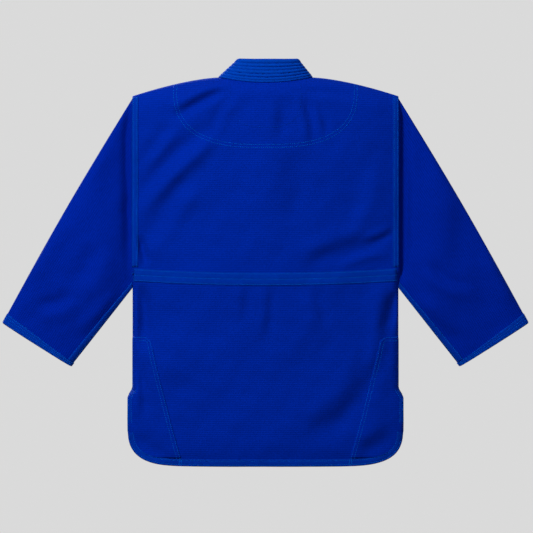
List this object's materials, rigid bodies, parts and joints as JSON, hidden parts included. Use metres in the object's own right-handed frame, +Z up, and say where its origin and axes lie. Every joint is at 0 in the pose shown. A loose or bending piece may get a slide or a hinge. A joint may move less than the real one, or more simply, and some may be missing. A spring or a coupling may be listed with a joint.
{
  "type": "martial arts jacket",
  "caption": "Heavy woven cotton martial arts jacket hung closed, with ribbed collar and lapels, wide sleeves, waist band, side vents and rounded hem.",
  "frame": {"origin": "middle of the neck opening, at the height of the inner ends of the shoulders, where a hanger or a neck holds the jacket", "axes": "+X towards the wearer's right, along the shoulders; +Y the way the wearer faces; +Z up"},
  "size_m": [1.0978, 0.0977, 0.8479],
  "materials": {
    "cloth": "heavy royal blue woven cotton, matte",
    "collar": "stitched blue cotton twill over a stiff core",
    "tape": "blue cotton tape with lighter stitch rows",
    "lining": "plain blue cotton",
    "core": "pale closed-cell foam strip"
  },
  "bodies": {
    "back": {"back_skirt": "cloth", "back_upper": "cloth", "back_waist_band": "tape", "collar_neck_core": "core", "collar_neck_cover": "collar", "left_armhole_tape_back": "tape", "left_armhole_tape_front": "tape", "left_front_shoulder": "cloth", "left_front_side": "cloth", "left_patch_upper": "cloth", "left_waist_band_side": "tape", "neck_patch": "lining", "right_armhole_tape_back": "tape", "right_armhole_tape_front": "tape", "right_front_shoulder": "cloth", "right_front_side": "cloth", "right_patch_upper": "cloth", "right_waist_band_side": "tape", "yoke_lining": "lining"},
    "back_tail": {"back_hem_band": "tape", "back_tail": "cloth", "left_bartack": "tape", "left_patch_tail": "cloth", "left_vent_band_back": "tape", "right_bartack": "tape", "right_patch_tail": "cloth", "right_vent_band_back": "tape"},
    "left_front": {"left_bartack_front": "tape", "left_front_chest": "cloth", "left_front_skirt": "cloth", "left_hem_band_front": "tape", "left_lapel_core": "core", "left_lapel_cover": "collar", "left_patch_front": "cloth", "left_vent_band_front": "tape", "left_waist_band_front": "tape"},
    "right_front": {"right_bartack_front": "tape", "right_front_chest": "cloth", "right_front_skirt": "cloth", "right_hem_band_front": "tape", "right_lapel_core": "core", "right_lapel_cover": "collar", "right_patch_front": "cloth", "right_vent_band_front": "tape", "right_waist_band_front": "tape"},
    "left_sleeve": {"left_cuff_band": "tape", "left_sleeve": "cloth", "left_underarm_tape": "tape"},
    "right_sleeve": {"right_cuff_band": "tape", "right_sleeve": "cloth", "right_underarm_tape": "tape"}
  },
  "joints": [
    {"name": "left_front_open", "type": "hinge", "parent": "back", "child": "left_front", "pos_m": [-0.112, 0.049, 0], "axis": [0.2413, 0.0375, 0.9697], "range_deg": [0, 80]},
    {"name": "right_front_open", "type": "hinge", "parent": "back", "child": "right_front", "pos_m": [0.112, 0.049, 0], "axis": [-0.2413, 0.0375, 0.9697], "range_deg": [-32, 0]},
    {"name": "left_sleeve_swing", "type": "hinge", "parent": "back", "child": "left_sleeve", "pos_m": [-0.2775, 0.0155, -0.2375], "axis": [0, 0, -1], "range_deg": [0, 80]},
    {"name": "right_sleeve_swing", "type": "hinge", "parent": "back", "child": "right_sleeve", "pos_m": [0.2775, 0.0155, -0.2375], "axis": [0, 0, 1], "range_deg": [0, 80]},
    {"name": "back_tail_lift", "type": "hinge", "parent": "back", "child": "back_tail", "pos_m": [0, -0.0425, -0.647], "axis": [-1, 0, 0], "range_deg": [0, 75]}
  ],
  "couplings": [
    {"joint": "right_front_open", "follows": "left_front_open", "ratio": -0.4}
  ]
}
